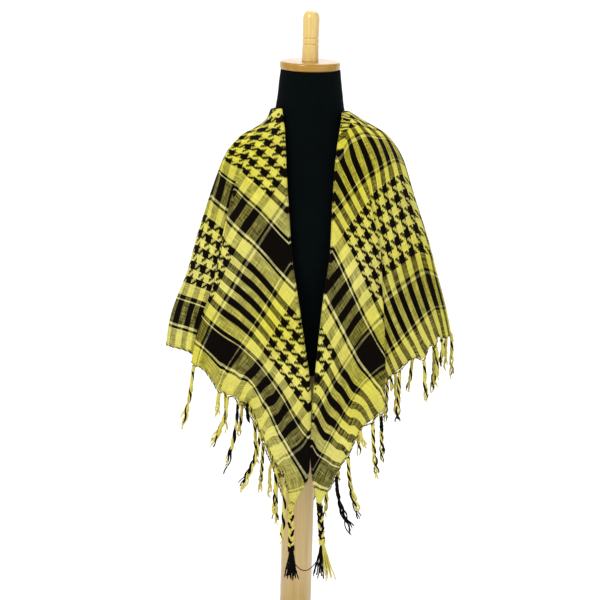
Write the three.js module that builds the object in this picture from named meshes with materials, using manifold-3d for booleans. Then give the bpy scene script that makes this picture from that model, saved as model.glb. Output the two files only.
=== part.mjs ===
// Keffiyeh square scarf, folded on its diagonal and worn as a shawl on a child's limbless dress form.
//
// Millimetres, +Z up, front of the form towards -Y. The origin is on the floor, under the middle of
// the stand. The scarf is one square of thin cotton folded to a double triangle: the fold runs from
// one front corner up around the neck and down to the other front corner, and the two loose corners
// hang behind the pole. Each layer is a thin wall laid over rings that go round the form.
import * as THREE from 'three';
import { mergeVertices } from 'three/addons/utils/BufferGeometryUtils.js';
import Module from 'manifold-3d';

const wasm = await Module();
wasm.setup();

// ---- driving sizes ------------------------------------------------------------------------------
const GAP = 0.3; // between pieces that touch
const CLOTH = 1.2; // thickness of one layer of cloth
const LAYER_STEP = 4; // from the face of the outer layer in to the face of the under layer
const BASE_RADIUS = 160;
const BASE_HEIGHT = 22;
const POLE_RADIUS = 24;
const TORSO_BOTTOM = 547;
const NECK_TOP = 988;
const DISC_RADIUS = 43.5;
const DISC_HEIGHT = 12;
const PEG_HEIGHT = 72;
const FRINGE_PITCH = 38; // between two knotted tassels along the hem
const HEM_CORD = 2.2; // radius of the twisted edge that the tassels hang from

// Rows of a table as objects, from the names of its columns.
const table = (names, rows) => {
  const keys = names.split(' ');
  return rows.map((row) => Object.fromEntries(keys.map((key, i) => [key, row[i]])));
};

// Rings of the outer layer from the neckline down. Heights are given at the side, front and back of
// a ring, half widths to the left and right of the stand, depths to the front and back, and the two
// edges of the front opening as places across.
const RINGS = table('name side fore aft left right front back edgeL edgeR', [
  ['neckline', 928, 940, 915, 56, 60, 54, 66, -41, 51],
  ['collar', 913, 920, 900, 63, 86, 64, 74, -38, 48],
  ['yoke', 901, 900, 884, 78, 108, 73, 80, -35, 45],
  ['shoulder', 888, 875, 862, 99, 121, 82, 85, -33, 42],
  ['tip', 864, 845, 832, 120, 136, 89, 89, -31, 40],
  ['sleeve', 825, 800, 788, 136, 151, 95, 92, -27, 39],
  ['chest', 754, 735, 725, 155, 178, 101, 95, -21, 38],
  ['ribs', 690, 670, 660, 170, 197, 105, 100, -10, 30],
  ['waist', 628, 610, 600, 194, 215, 108, 105, 0, 25],
  ['hip', 573, 548, 535, 204, 226, 109, 107, 9, 21],
  ['flap', 500, 455, 420, 206, 228, 108, 107, 12, 18],
  ['point', 470, 402, 360, 206, 228, 107, 105, 10, 22],
  ['tail', 440, 361, 300, 206, 228, 105, 102, -11, 31],
  ['corner', 400, 300, 205, 206, 228, 104, 92, -14, 34],
]);

// Height of the hem, from the middle of the back (across 0) round to the front opening (across 1),
// for the outer layer and for the under layer, which shows below it in two places.
const HEM_LEFT = table('across outer under', [
  [0, 215, 228],
  [0.03, 285, 298],
  [0.06, 350, 362],
  [0.1, 420, 430],
  [0.15, 470, 478],
  [0.22, 515, 522],
  [0.3, 550, 556],
  [0.4, 572, 580],
  [0.52, 584, 594],
  [0.64, 579, 589],
  [0.745, 566, 578],
  [0.82, 528, 536],
  [0.88, 507, 496],
  [0.91, 478, 468],
  [0.945, 418, 430],
  [1, 362, 372],
]);
const HEM_RIGHT = table('across outer under', [
  [0, 215, 228],
  [0.03, 285, 298],
  [0.06, 350, 362],
  [0.1, 422, 432],
  [0.15, 474, 482],
  [0.22, 522, 530],
  [0.3, 562, 570],
  [0.4, 592, 600],
  [0.52, 606, 616],
  [0.62, 601, 612],
  [0.715, 575, 587],
  [0.785, 557, 568],
  [0.815, 534, 544],
  [0.85, 516, 526],
  [0.888, 500, 508],
  [0.918, 474, 472],
  [0.952, 424, 416],
  [1, 361, 369],
]);

// Folds that run down the cloth. Each starts and ends at a place across and at a ring, counted from
// the neckline. Depth is how far it stands out (or in, if negative), width is its half width, both
// in mm, and tuck is how much cloth it swallows where it laps over itself.
const FOLDS = table('side from to acrossTop acrossEnd depth width tuck', [
  ['left', 2.2, 14, 0.81, 0.705, -16, 10, 46],
  ['left', 5.5, 14, 0.86, 0.865, -7, 13, 0],
  ['left', 7.5, 14, 0.93, 0.925, 6, 10, 0],
  ['left', 4.5, 14, 0.52, 0.56, 8, 16, 0],
  ['right', 3.4, 14, 0.862, 0.85, -12, 10, 44],
  ['right', 6, 14, 0.765, 0.775, -7, 12, 0],
  ['right', 7, 14, 0.69, 0.7, 8, 13, 0],
  ['right', 7.4, 14, 0.6, 0.61, -8, 13, 0],
]);
const LAP_EASE = 2.6; // how much wider the under layer takes a lap, so that it stays clear of it
const FLUTES = { count: 6, reach: 0.48, depth: 21, from: 3.6, full: 9 }; // soft flutes over the back
const FLUTE_DRIFT = 0.6; // how far the flutes of one side run ahead of the other's, in radians

// Rings of the torso and neck: height, half width, depths, and how far the middle is off the pole.
const TORSO = table('z half front back shift', [
  [TORSO_BOTTOM, 84, 62, 63, 4],
  [550, 95, 71, 72, 4],
  [558, 102, 77, 78, 4],
  [580, 103, 78, 79, 5],
  [620, 98, 76, 76, 5],
  [670, 95, 77, 74, 5],
  [735, 103, 82, 77, 6],
  [800, 110, 80, 78, 6],
  [840, 109, 75, 76, 6],
  [866, 102, 69, 72, 6],
  [884, 92, 63, 67, 6],
  [898, 76, 58, 63, 5],
  [909, 62, 53, 59, 4],
  [920, 53.5, 49, 55, 2.5],
  [934, 49.5, 46, 51, 1.5],
  [952, 47, 45, 47, 1.5],
  [970, 45, 44, 45, 1],
  [NECK_TOP - GAP, 43, 43, 43, 1],
]);

// Tassels that hang free of the front hems: place across, length, lean to the side, half thickness.
const FRONT_TASSELS = table('side across length lean half', [
  ['left', 0.752, 97, -14, 3.4],
  ['left', 0.822, 36, -2, 4.2],
  ['left', 0.84, 76, -22, 2.6],
  ['left', 0.862, 108, -16, 2.8],
  ['left', 0.884, 29, 4, 2.6],
  ['left', 0.912, 92, -26, 3.2],
  ['left', 0.943, 78, -2, 3.2],
  ['left', 0.968, 92, -3, 3.4],
  ['right', 0.603, 40, -4, 4],
  ['right', 0.645, 50, 2, 3],
  ['right', 0.7, 63, 5, 3.2],
  ['right', 0.762, 76, 0, 3.6],
  ['right', 0.786, 22, 2, 2.6],
  ['right', 0.882, 72, 4, 3.6],
  ['right', 0.9, 84, 8, 3.6],
  ['right', 0.922, 26, 8, 2.6],
  ['right', 0.942, 94, 18, 3.6],
  ['right', 0.964, 88, 24, 3.4],
]);

// Lengths of twisted edge along the hem, from place to place, each with its tassels. They break off at
// the middles of the sides, at the corners and at the lap of the right flap.
const FRINGES = table('name from to', [
  ['fringe_left_front', -0.98, -0.66],
  ['fringe_left_back', -0.65, -0.03],
  ['fringe_right_back', 0.03, 0.585],
  ['fringe_right_side', 0.595, 0.8],
  ['fringe_right_front', 0.872, 0.98],
]);
const WORN_TO = -0.17; // the tassels of the left side have worn off from the flap round to this place

// Plaited corners: place, sideways shift, length of the plait and of the tassel below it.
const PLAITS = table('name place shift plait tassel flare lean', [
  ['plait_left_front', -1, 0, 73, 48, 11, 4],
  ['plait_right_front', 1, 0, 60, 58, 18, 11],
  ['plait_back_left', 0, -11, 62, 46, 9, 0],
  ['plait_back_right', 0, 11, 52, 46, 9, 0],
]);

// ---- finishes -----------------------------------------------------------------------------------
const finish = (color, roughness) => new THREE.MeshStandardMaterial({ color, roughness, metalness: 0 });
const COTTON_OUTER = finish(0xd8cf3c, 0.95);
const COTTON_UNDER = finish(0x8f8f38, 0.95);
const COTTON_YARN = finish(0xc9c13a, 0.95);
const JERSEY = finish(0x111216, 0.9);
const HONEY_WOOD = finish(0xd89a55, 0.35);
const PALE_WOOD = finish(0xe9d5b4, 0.45);

// ---- curves through the tables ------------------------------------------------------------------
// Value of a column at a fractional row, on a smooth curve through the rows.
function column(rows, key, at) {
  const last = rows.length - 1;
  const place = Math.min(Math.max(at, 0), last);
  const low = Math.min(Math.floor(place), last - 1);
  const f = place - low;
  const value = (i) => rows[Math.min(Math.max(i, 0), last)][key];
  const [a, b, c, d] = [value(low - 1), value(low), value(low + 1), value(low + 2)];
  return b + 0.5 * f * (c - a + f * (2 * a - 5 * b + 4 * c - d + f * (3 * (b - c) + d - a)));
}

// Value of one column where another, rising column has a given value, on straight lines.
function lookUp(rows, key, value, wanted) {
  const i = Math.min(Math.max(rows.findIndex((row) => row[key] >= value), 1), rows.length - 1);
  const f = (value - rows[i - 1][key]) / (rows[i][key] - rows[i - 1][key]);
  return THREE.MathUtils.lerp(rows[i - 1][wanted], rows[i][wanted], THREE.MathUtils.clamp(f, 0, 1));
}

const ramp = (value, from, to) => THREE.MathUtils.smoothstep(value, from, to);

// ---- the shape of the cloth ---------------------------------------------------------------------
// A point at ring `row` and turn `angle` round the form (0 is the front, +90 degrees the right).
function ringPoint(row, angle) {
  const sin = Math.sin(angle);
  const cos = Math.cos(angle);
  const wide = column(RINGS, angle > 0 ? 'right' : 'left', row);
  const deep = column(RINGS, cos > 0 ? 'front' : 'back', row);
  const middle = column(RINGS, cos > 0 ? 'fore' : 'aft', row);
  const height = column(RINGS, 'side', row) * sin * sin + middle * cos * cos;
  return new THREE.Vector3(wide * sin, -deep * cos, height);
}

// Turn of the front edge of one half of the cloth at a ring.
function edgeAngle(row, sign) {
  const x = column(RINGS, sign < 0 ? 'edgeL' : 'edgeR', row);
  return Math.asin(x / column(RINGS, x < 0 ? 'left' : 'right', row));
}

// Length of one half of a ring, from the middle of the back to the front edge.
function halfLength(row, sign) {
  const wide = column(RINGS, sign < 0 ? 'left' : 'right', row);
  return (Math.PI / 2) * (0.5 * (column(RINGS, 'front', row) + column(RINGS, 'back', row)) + wide) * 0.95;
}

// How far the folds move a point: along the ring (as a part of its half length) and outwards.
function foldShift(row, across, sign, smooth) {
  let along = 0;
  let out = 0;
  const length = halfLength(row, sign);
  for (const fold of FOLDS) {
    if ((fold.side === 'left') !== (sign < 0)) continue;
    const strength = ramp(row, fold.from, fold.from + 3.2);
    const f = (row - fold.from) / (fold.to - fold.from);
    const middle = THREE.MathUtils.lerp(fold.acrossTop, fold.acrossEnd, Math.min(Math.max(1.6 * f, 0), 1));
    const d = ((across - middle) * length) / fold.width;
    if (fold.tuck > 0) {
      const even = across < middle ? across / middle - 1 : (across - middle) / (1 - middle);
      const swallow = (strength * fold.tuck * 0.5) / length;
      along -= swallow * (Math.tanh(smooth ? d / LAP_EASE : d) - even);
      const behind = 0.5 * (1 - Math.tanh(1.5 * d)) * Math.exp(Math.min(0, d + 1) / 3.5);
      const eased = 1.15 * Math.exp(-0.05 * (d + 0.8) ** 2);
      out += strength * fold.depth * (smooth ? Math.max(behind, eased) : behind);
    } else {
      out += strength * fold.depth * Math.exp(-d * d);
    }
  }
  const fade = 1 - ramp(across, FLUTES.reach * 0.7, FLUTES.reach);
  const wave = Math.cos(((Math.PI * FLUTES.count + sign * FLUTE_DRIFT) * across) / FLUTES.reach);
  out += FLUTES.depth * fade * ramp(row, FLUTES.from, FLUTES.full) * wave;
  return { along, out };
}

// A point of the cloth: `place` runs from -1 at the left front edge through 0 at the middle of the
// back to 1 at the right front edge, `row` down the rings. The under layer keeps clear of laps.
function clothPoint(place, row, under) {
  const sign = place < 0 ? -1 : 1;
  const shift = foldShift(row, Math.abs(place), sign, under);
  const across = Math.abs(place) + shift.along;
  const turnAt = (part) => sign * (Math.PI - (Math.PI - sign * edgeAngle(row, sign)) * part);
  const point = ringPoint(row, turnAt(across));
  const ahead = ringPoint(row, turnAt(across + 0.01)).sub(ringPoint(row, turnAt(across - 0.01)));
  const outward = new THREE.Vector3(-ahead.y, ahead.x, 0).normalize().multiplyScalar(sign);
  return point.addScaledVector(outward, shift.out - (under ? LAYER_STEP : 0));
}

// The direction square to the cloth, out of it.
function clothNormal(place, row, under) {
  const [step, drop] = [0.003, 0.12];
  const along = clothPoint(place + step, row, under).sub(clothPoint(place - step, row, under));
  const down = clothPoint(place, row + drop, under).sub(clothPoint(place, Math.max(row - drop, 0), under));
  return along.cross(down).normalize();
}

// The ring, counted down from the neckline, at which the cloth reaches its hem.
function hemRow(place, under) {
  const table = place < 0 ? HEM_LEFT : HEM_RIGHT;
  const height = lookUp(table, 'across', Math.abs(place), under ? 'under' : 'outer');
  let low = 0;
  let high = RINGS.length - 1;
  for (let i = 0; i < 30; i++) {
    const middle = 0.5 * (low + high);
    if (clothPoint(place, middle, under).z > height) low = middle;
    else high = middle;
  }
  return low;
}

// ---- walls --------------------------------------------------------------------------------------
// A closed wall from a grid of points on its outer face, each with the normal there: the inner face
// lies `thick` behind it.
function wall(grid, thick) {
  const columns = grid.length;
  const rows = grid[0].length;
  const position = [];
  const inner = [];
  for (const { point, normal } of grid.flat()) {
    position.push(...point.toArray());
    inner.push(...point.clone().addScaledVector(normal, -thick).toArray());
  }
  position.push(...inner);
  const behind = columns * rows;
  const index = [];
  const quad = (a, b, c, d) => index.push(c, b, a, d, c, a); // corners clockwise from outside
  for (let i = 0; i + 1 < columns; i++) {
    for (let j = 0; j + 1 < rows; j++) {
      const [a, b, c, d] = [i * rows + j, i * rows + j + 1, (i + 1) * rows + j + 1, (i + 1) * rows + j];
      quad(a, b, c, d);
      quad(d + behind, c + behind, b + behind, a + behind);
    }
  }
  for (let i = 0; i + 1 < columns; i++) {
    const [a, b] = [i * rows, (i + 1) * rows];
    quad(a, b, b + behind, a + behind);
    quad(b + rows - 1, a + rows - 1, a + rows - 1 + behind, b + rows - 1 + behind);
  }
  const end = (columns - 1) * rows;
  for (let j = 0; j + 1 < rows; j++) {
    quad(j + 1, j, j + behind, j + 1 + behind);
    quad(end + j, end + j + 1, end + j + 1 + behind, end + j + behind);
  }
  const geometry = new THREE.BufferGeometry();
  geometry.setAttribute('position', new THREE.Float32BufferAttribute(position, 3));
  geometry.setIndex(index);
  return geometry;
}

// One stretch of a layer between two places. It stops short of each seam by half the gap.
function stretch(from, to, columns, rows, under) {
  const grid = [];
  for (let i = 0; i <= columns; i++) {
    const place = THREE.MathUtils.lerp(from, to, i / columns);
    const trim = i === 0 ? 0.5 * GAP : i === columns ? -0.5 * GAP : 0;
    const bottom = hemRow(place, under);
    const line = [];
    for (let j = 0; j <= rows; j++) {
      const row = (bottom * j) / rows;
      const trimmed = place + trim / halfLength(row, place < 0 ? -1 : 1);
      line.push({ point: clothPoint(trimmed, row, under), normal: clothNormal(trimmed, row, under) });
    }
    grid.push(line);
  }
  return wall(grid, CLOTH);
}

// ---- solids -------------------------------------------------------------------------------------
function toSolid(geometry) {
  const bare = geometry.clone();
  bare.deleteAttribute('normal');
  bare.deleteAttribute('uv');
  const merged = mergeVertices(bare, 1e-4);
  const vertProperties = new Float32Array(merged.attributes.position.array);
  const triVerts = new Uint32Array(merged.index.array);
  return new wasm.Manifold(new wasm.Mesh({ numProp: 3, vertProperties, triVerts }));
}

function toGeometry(solid) {
  const mesh = solid.getMesh();
  const geometry = new THREE.BufferGeometry();
  geometry.setAttribute('position', new THREE.Float32BufferAttribute(mesh.vertProperties, 3));
  geometry.setIndex(new THREE.Uint32BufferAttribute(mesh.triVerts, 1));
  return geometry;
}

// A closed loft through rings of points with flat ends.
function loft(rings) {
  const around = rings[0].length;
  const position = rings.flat().flatMap((point) => point.toArray());
  const index = [];
  for (let k = 0; k + 1 < rings.length; k++) {
    for (let i = 0; i < around; i++) {
      const [a, b] = [k * around + i, k * around + ((i + 1) % around)];
      index.push(a, b, b + around, a, b + around, a + around);
    }
  }
  const top = (rings.length - 1) * around;
  for (let i = 1; i + 1 < around; i++) {
    index.push(0, i + 1, i);
    index.push(top, top + i, top + i + 1);
  }
  const geometry = new THREE.BufferGeometry();
  geometry.setAttribute('position', new THREE.Float32BufferAttribute(position, 3));
  geometry.setIndex(index);
  return geometry;
}

function torsoGeometry() {
  const around = 28;
  const ring = ({ z, half, front, back, shift }) => Array.from({ length: around }, (_, i) => {
    const angle = (2 * Math.PI * i) / around;
    const deep = Math.cos(angle) > 0 ? front : back;
    return new THREE.Vector3(shift + half * Math.sin(angle), -deep * Math.cos(angle), z);
  });
  return loft(TORSO.map(ring));
}

// A turned piece from its profile of [radius, height] pairs, upright on the pole's axis.
function turned(profile, sides) {
  const points = profile.map(([radius, height]) => new THREE.Vector2(radius, height));
  return new THREE.LatheGeometry(points, sides).rotateX(Math.PI / 2);
}

function baseProfile() {
  const edge = 6;
  return [[0, 0], [BASE_RADIUS - 2, 0], [BASE_RADIUS, 3], [BASE_RADIUS, BASE_HEIGHT - edge],
    [BASE_RADIUS - 2, BASE_HEIGHT - 2], [BASE_RADIUS - edge, BASE_HEIGHT], [0, BASE_HEIGHT]];
}

function poleProfile() {
  const bottom = BASE_HEIGHT + GAP;
  const top = TORSO_BOTTOM - GAP;
  return [[0, bottom], [POLE_RADIUS, bottom], [POLE_RADIUS, top], [0, top]];
}

function discProfile() {
  const round = 3.5;
  const top = NECK_TOP + DISC_HEIGHT;
  return [[0, NECK_TOP], [DISC_RADIUS - round, NECK_TOP], [DISC_RADIUS - 1, NECK_TOP + 1],
    [DISC_RADIUS, NECK_TOP + round], [DISC_RADIUS, top - round], [DISC_RADIUS - 1, top - 1],
    [DISC_RADIUS - round, top], [0, top]];
}

// The turned peg: two shallow grooves, a slim waist and a domed head.
function pegProfile() {
  const foot = NECK_TOP + DISC_HEIGHT + GAP;
  const rows = [[0, 0], [12, 0], [12.2, 6], [11.8, 18], [11.2, 24], [11.8, 26], [11.6, 31], [10.9, 33],
    [11.6, 35], [11.8, 46], [12, 58], [11.3, 64], [9.2, 68.5], [5.5, 71.2], [0, PEG_HEIGHT]];
  return rows.map(([radius, height]) => [radius, foot + height]);
}

// ---- fringe and plaits --------------------------------------------------------------------------
const hemPoint = (place, under) => clothPoint(place, hemRow(place, under), under);

// A prism with a square section carried down a line of points, its half thickness given at each.
function prism(points, halves) {
  const rings = points.map((point, i) => {
    const corner = ([x, y]) => point.clone().add(new THREE.Vector3(x * halves[i], y * halves[i], 0));
    return [[-1, -1], [1, -1], [1, 1], [-1, 1]].map(corner);
  });
  return loft(rings.reverse());
}

// A tassel that hangs from a point of the hem: it swells under its knot and tapers to its end, and
// hangs a little proud of the cloth, along `outward`.
function tassel(root, outward, length, lean, half) {
  const steps = [[0, 0.6], [0.12, 0.8], [0.7, 1], [1, 0.8]];
  const points = steps.map(([part]) => {
    const proud = outward.clone().multiplyScalar(half * Math.min(1, 6 * part));
    return root.clone().add(new THREE.Vector3(lean * part * part, 0, -length * part)).add(proud);
  });
  return prism(points, steps.map(([, swell]) => half * swell));
}

// A point just off the hem, in the run of the cloth, where the twisted edge lies.
function cordPoint(place) {
  const [step, off] = [0.004, HEM_CORD + 9 * GAP];
  const along = hemPoint(place + step, false).sub(hemPoint(place - step, false)).normalize();
  const normal = clothNormal(place, hemRow(place, false), false);
  const away = along.clone().cross(normal).normalize();
  const point = hemPoint(place, false).addScaledVector(away, away.z < 0 ? off : -off);
  return point.addScaledVector(normal, -0.5 * CLOTH);
}

// The twisted edge below the hem of one stretch, with its tassels, joined to one solid.
function fringe(from, to, tassels) {
  const steps = Math.max(6, Math.round(Math.abs(to - from) * 55));
  const placeAt = (i) => THREE.MathUtils.lerp(from, to, i / steps);
  const points = Array.from({ length: steps + 1 }, (_, i) => cordPoint(placeAt(i)));
  const section = new THREE.Shape();
  const corners = 4;
  for (let i = 0; i < corners; i++) {
    const angle = (2 * Math.PI * i) / corners;
    const [x, y] = [HEM_CORD * Math.cos(angle), HEM_CORD * Math.sin(angle)];
    if (i === 0) section.moveTo(x, y);
    else section.lineTo(x, y);
  }
  section.closePath();
  const extrudePath = new THREE.CatmullRomCurve3(points);
  let solid = toSolid(new THREE.ExtrudeGeometry(section, { steps, extrudePath, bevelEnabled: false }));
  for (const { place, length, lean, half } of tassels) {
    const outward = clothNormal(place, hemRow(place, false), false);
    solid = solid.add(toSolid(tassel(cordPoint(place), outward, length, lean, half)));
  }
  return toGeometry(solid);
}

// Tassels at an even pitch where the hem isn't seen from the front.
function evenTassels(from, to) {
  const steps = 80;
  let walked = 0;
  let last = hemPoint(from, false);
  const tassels = [];
  for (let i = 1; i <= steps; i++) {
    const place = THREE.MathUtils.lerp(from, to, i / steps);
    const next = hemPoint(place, false);
    walked += next.distanceTo(last);
    last = next;
    if (walked > FRINGE_PITCH && i < steps - 1) {
      walked = 0;
      const turn = tassels.length;
      const [length, lean] = [70 + 14 * Math.sin(2.1 * turn), 5 * Math.sin(3.7 * turn)];
      tassels.push({ place, length, lean, half: 3.2 });
    }
  }
  return tassels;
}

// The tassels of one length of edge: those of the front table that lie on it, or else even ones.
function tasselsOf(from, to) {
  const placeOf = ({ side, across }) => (side === 'left' ? -across : across);
  const front = FRONT_TASSELS.map((row) => ({ ...row, place: placeOf(row) }))
    .filter(({ place }) => place > from && place < to);
  return front.length > 0 ? front : evenTassels(from, to).filter(({ place }) => place > WORN_TO);
}

// A plaited corner: a wrapped neck, the plait, a knot and a spread tassel.
function plaitGeometry({ place, shift, plait, tassel: brush, flare, lean }) {
  const root = hemPoint(place, false).add(new THREE.Vector3(shift, 0, -(HEM_CORD + 5 * GAP)));
  const steps = [[0, 3.4], [plait * 0.2, 4.6], [plait, 4.4], [plait + brush * 0.12, 6],
    [plait + brush * 0.6, flare * 0.8], [plait + brush, flare]];
  const around = 8;
  const total = plait + brush;
  const rings = steps.map(([down, radius]) => Array.from({ length: around }, (_, i) => {
    const angle = (2 * Math.PI * i) / around;
    const sway = lean * (down / total);
    const [x, y] = [radius * Math.sin(angle), -0.75 * radius * Math.cos(angle)];
    return root.clone().add(new THREE.Vector3(sway + x, y, -down));
  }));
  return loft(rings.reverse());
}

// ---- assembly -----------------------------------------------------------------------------------
const model = new THREE.Group();

function add(name, geometry, material) {
  const mesh = new THREE.Mesh(geometry, material);
  mesh.name = name;
  model.add(mesh);
}

add('form_base', turned(baseProfile(), 40), PALE_WOOD);
add('form_pole', turned(poleProfile(), 24), PALE_WOOD);
add('form_torso', torsoGeometry(), JERSEY);
add('form_neck_disc', turned(discProfile(), 28), HONEY_WOOD);
add('form_peg', turned(pegProfile(), 14), HONEY_WOOD);

// Stretches of the scarf, from the left front edge round the back to the right front edge.
const STRETCHES = [
  { name: 'left_flap', from: -1, to: -0.5, columns: 24, underColumns: 12 },
  { name: 'left_shoulder', from: -0.5, to: -0.25, columns: 8, underColumns: 8 },
  { name: 'back_left', from: -0.25, to: 0, columns: 12, underColumns: 12 },
  { name: 'back_right', from: 0, to: 0.25, columns: 12, underColumns: 12 },
  { name: 'right_shoulder', from: 0.25, to: 0.58, columns: 9, underColumns: 9 },
  { name: 'right_flap', from: 0.58, to: 1, columns: 24, underColumns: 14 },
];
const ROWS = 13;
for (const { name, from, to, columns, underColumns } of STRETCHES) {
  add(`scarf_${name}`, stretch(from, to, columns, ROWS, false), COTTON_OUTER);
  add(`under_${name}`, stretch(from, to, underColumns, ROWS, true), COTTON_UNDER);
}

for (const { name, from, to } of FRINGES) add(name, fringe(from, to, tasselsOf(from, to)), COTTON_YARN);
for (const row of PLAITS) add(row.name, plaitGeometry(row), COTTON_YARN);

export default model;
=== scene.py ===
"""A keffiyeh square scarf, folded on its diagonal and worn as a shawl on a child's dress form.

Run as a script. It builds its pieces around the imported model, in metres and in the same frame:
origin on the floor under the stand, +Z up, front towards -Y. Sizes in the tables are millimetres.
"""
import functools
import math

import bpy
import numpy as np
from mathutils import Matrix, Vector


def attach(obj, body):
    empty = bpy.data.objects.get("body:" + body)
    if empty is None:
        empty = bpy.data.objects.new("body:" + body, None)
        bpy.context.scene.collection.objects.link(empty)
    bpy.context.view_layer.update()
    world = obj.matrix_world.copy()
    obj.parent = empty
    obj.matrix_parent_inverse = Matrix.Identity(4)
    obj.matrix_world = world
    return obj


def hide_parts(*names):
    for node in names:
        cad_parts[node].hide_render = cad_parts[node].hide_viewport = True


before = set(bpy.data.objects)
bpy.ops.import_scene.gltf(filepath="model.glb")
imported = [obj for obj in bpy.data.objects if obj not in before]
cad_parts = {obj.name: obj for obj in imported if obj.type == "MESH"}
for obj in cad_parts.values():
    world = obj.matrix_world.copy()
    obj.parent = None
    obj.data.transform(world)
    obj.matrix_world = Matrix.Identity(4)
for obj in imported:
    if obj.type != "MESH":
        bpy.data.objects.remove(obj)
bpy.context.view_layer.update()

bl_info = {
    "name": "Keffiyeh shawl on a dress form",
    "version": (1, 0, 0),
    "blender": (4, 5, 0),
    "location": "View3D > Sidebar > Shawl",
    "description": "Builds a fringed check scarf draped on a limbless dress form",
    "category": "Add Mesh",
}

MM = 0.001


def table(names, rows):
    """Rows as dictionaries, from the names of their columns."""
    keys = names.split()
    return [dict(zip(keys, row)) for row in rows]


# ---- tables of the cloth, in millimetres --------------------------------------------------------
SQUARE_SIDE = 1050.0
HALF_DIAGONAL = SQUARE_SIDE / math.sqrt(2)
LAYER_STEP = 4.0  # from the face of the outer layer in to the face of the under layer
LAP_EASE = 2.6  # how much wider the under layer takes a lap, so that it stays clear of it

# Rings of the outer layer from the neckline down. Heights are given at the side, front and back of a
# ring, half widths to the left and right of the stand, depths to the front and back, and the two edges
# of the front opening as places across.
RINGS = table("name side fore aft left right front back edgeL edgeR", [
    ("neckline", 928, 940, 915, 56, 60, 54, 66, -41, 51),
    ("collar", 913, 920, 900, 63, 86, 64, 74, -38, 48),
    ("yoke", 901, 900, 884, 78, 108, 73, 80, -35, 45),
    ("shoulder", 888, 875, 862, 99, 121, 82, 85, -33, 42),
    ("tip", 864, 845, 832, 120, 136, 89, 89, -31, 40),
    ("sleeve", 825, 800, 788, 136, 151, 95, 92, -27, 39),
    ("chest", 754, 735, 725, 155, 178, 101, 95, -21, 38),
    ("ribs", 690, 670, 660, 170, 197, 105, 100, -10, 30),
    ("waist", 628, 610, 600, 194, 215, 108, 105, 0, 25),
    ("hip", 573, 548, 535, 204, 226, 109, 107, 9, 21),
    ("flap", 500, 455, 420, 206, 228, 108, 107, 12, 18),
    ("point", 470, 402, 360, 206, 228, 107, 105, 10, 22),
    ("tail", 440, 361, 300, 206, 228, 105, 102, -11, 31),
    ("corner", 400, 300, 205, 206, 228, 104, 92, -14, 34),
])

# Height of the hem, from the middle of the back (across 0) round to the front opening (across 1), for
# the outer layer and for the under layer, which shows below it in two places.
HEM_LEFT = table("across outer under", [
    (0, 215, 228), (0.03, 285, 298), (0.06, 350, 362), (0.1, 420, 430), (0.15, 470, 478),
    (0.22, 515, 522), (0.3, 550, 556), (0.4, 572, 580), (0.52, 584, 594), (0.64, 579, 589),
    (0.745, 566, 578), (0.82, 528, 536), (0.88, 507, 496), (0.91, 478, 468), (0.945, 418, 430),
    (1, 362, 372),
])
HEM_RIGHT = table("across outer under", [
    (0, 215, 228), (0.03, 285, 298), (0.06, 350, 362), (0.1, 422, 432), (0.15, 474, 482),
    (0.22, 522, 530), (0.3, 562, 570), (0.4, 592, 600), (0.52, 606, 616), (0.62, 601, 612),
    (0.715, 575, 587), (0.785, 557, 568), (0.815, 534, 544), (0.85, 516, 526), (0.888, 500, 508),
    (0.918, 474, 472), (0.952, 424, 416), (1, 361, 369),
])

# Folds that run down the cloth. Each starts and ends at a place across and at a ring, counted from the
# neckline. Depth is how far it stands out (or in, if negative), width is its half width, and tuck is how
# much cloth it swallows where it laps over itself.
FOLDS = table("side from to acrossTop acrossEnd depth width tuck", [
    ("left", 2.2, 14, 0.81, 0.705, -16, 10, 46),
    ("left", 5.5, 14, 0.86, 0.865, -7, 13, 0),
    ("left", 7.5, 14, 0.93, 0.925, 6, 10, 0),
    ("left", 4.5, 14, 0.52, 0.56, 8, 16, 0),
    ("right", 3.4, 14, 0.862, 0.85, -12, 10, 44),
    ("right", 6, 14, 0.765, 0.775, -7, 12, 0),
    ("right", 7, 14, 0.69, 0.7, 8, 13, 0),
    ("right", 7.4, 14, 0.6, 0.61, -8, 13, 0),
])
FOLD_RISE = 3.2  # rings over which a fold rises to its full depth
FOLD_RUN = 1.6  # how much sooner than at its end a fold is at its end place across
FLUTES = {"count": 6, "reach": 0.48, "depth": 21.0, "from": 3.6, "full": 9.0}  # soft flutes over the back
FLUTE_DRIFT = 0.6  # how far the flutes of one side run ahead of the other's, in radians
OPENING_PART = 0.95  # part of a ring's length that the front opening leaves
RIPPLE = 0.7  # height of the slight uneven ripple of the whole cloth

# Small creases: where each starts and ends, across and down, how far it stands out and its half width.
CREASES = table("from to fromRow toRow depth width", [
    (-0.93, -0.95, 2, 8.5, -2, 9),
    (-0.86, -0.9, 2.5, 9, 2.2, 10),
    (-0.78, -0.8, 3, 8, -2.4, 9),
    (-0.6, -0.58, 2.2, 9.5, 3, 9),
    (-0.45, -0.47, 3, 10, -4, 12),
    (-0.3, -0.34, 2, 9, 3.5, 13),
    (0.3, 0.33, 2.5, 9.5, 3.5, 13),
    (0.42, 0.46, 3.4, 10, -4, 12),
    (0.56, 0.6, 2, 8.6, 2.6, 10),
    (0.72, 0.74, 1.6, 6.6, -2, 9),
    (0.8, 0.84, 2.2, 7.4, 1.8, 8),
    (0.93, 0.9, 1.5, 6.2, -1.6, 8),
    (0.95, 0.96, 5, 9.6, 2, 8),
])

STRETCHES = ("left_flap", "left_shoulder", "back_left", "back_right", "right_shoulder", "right_flap")

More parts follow.
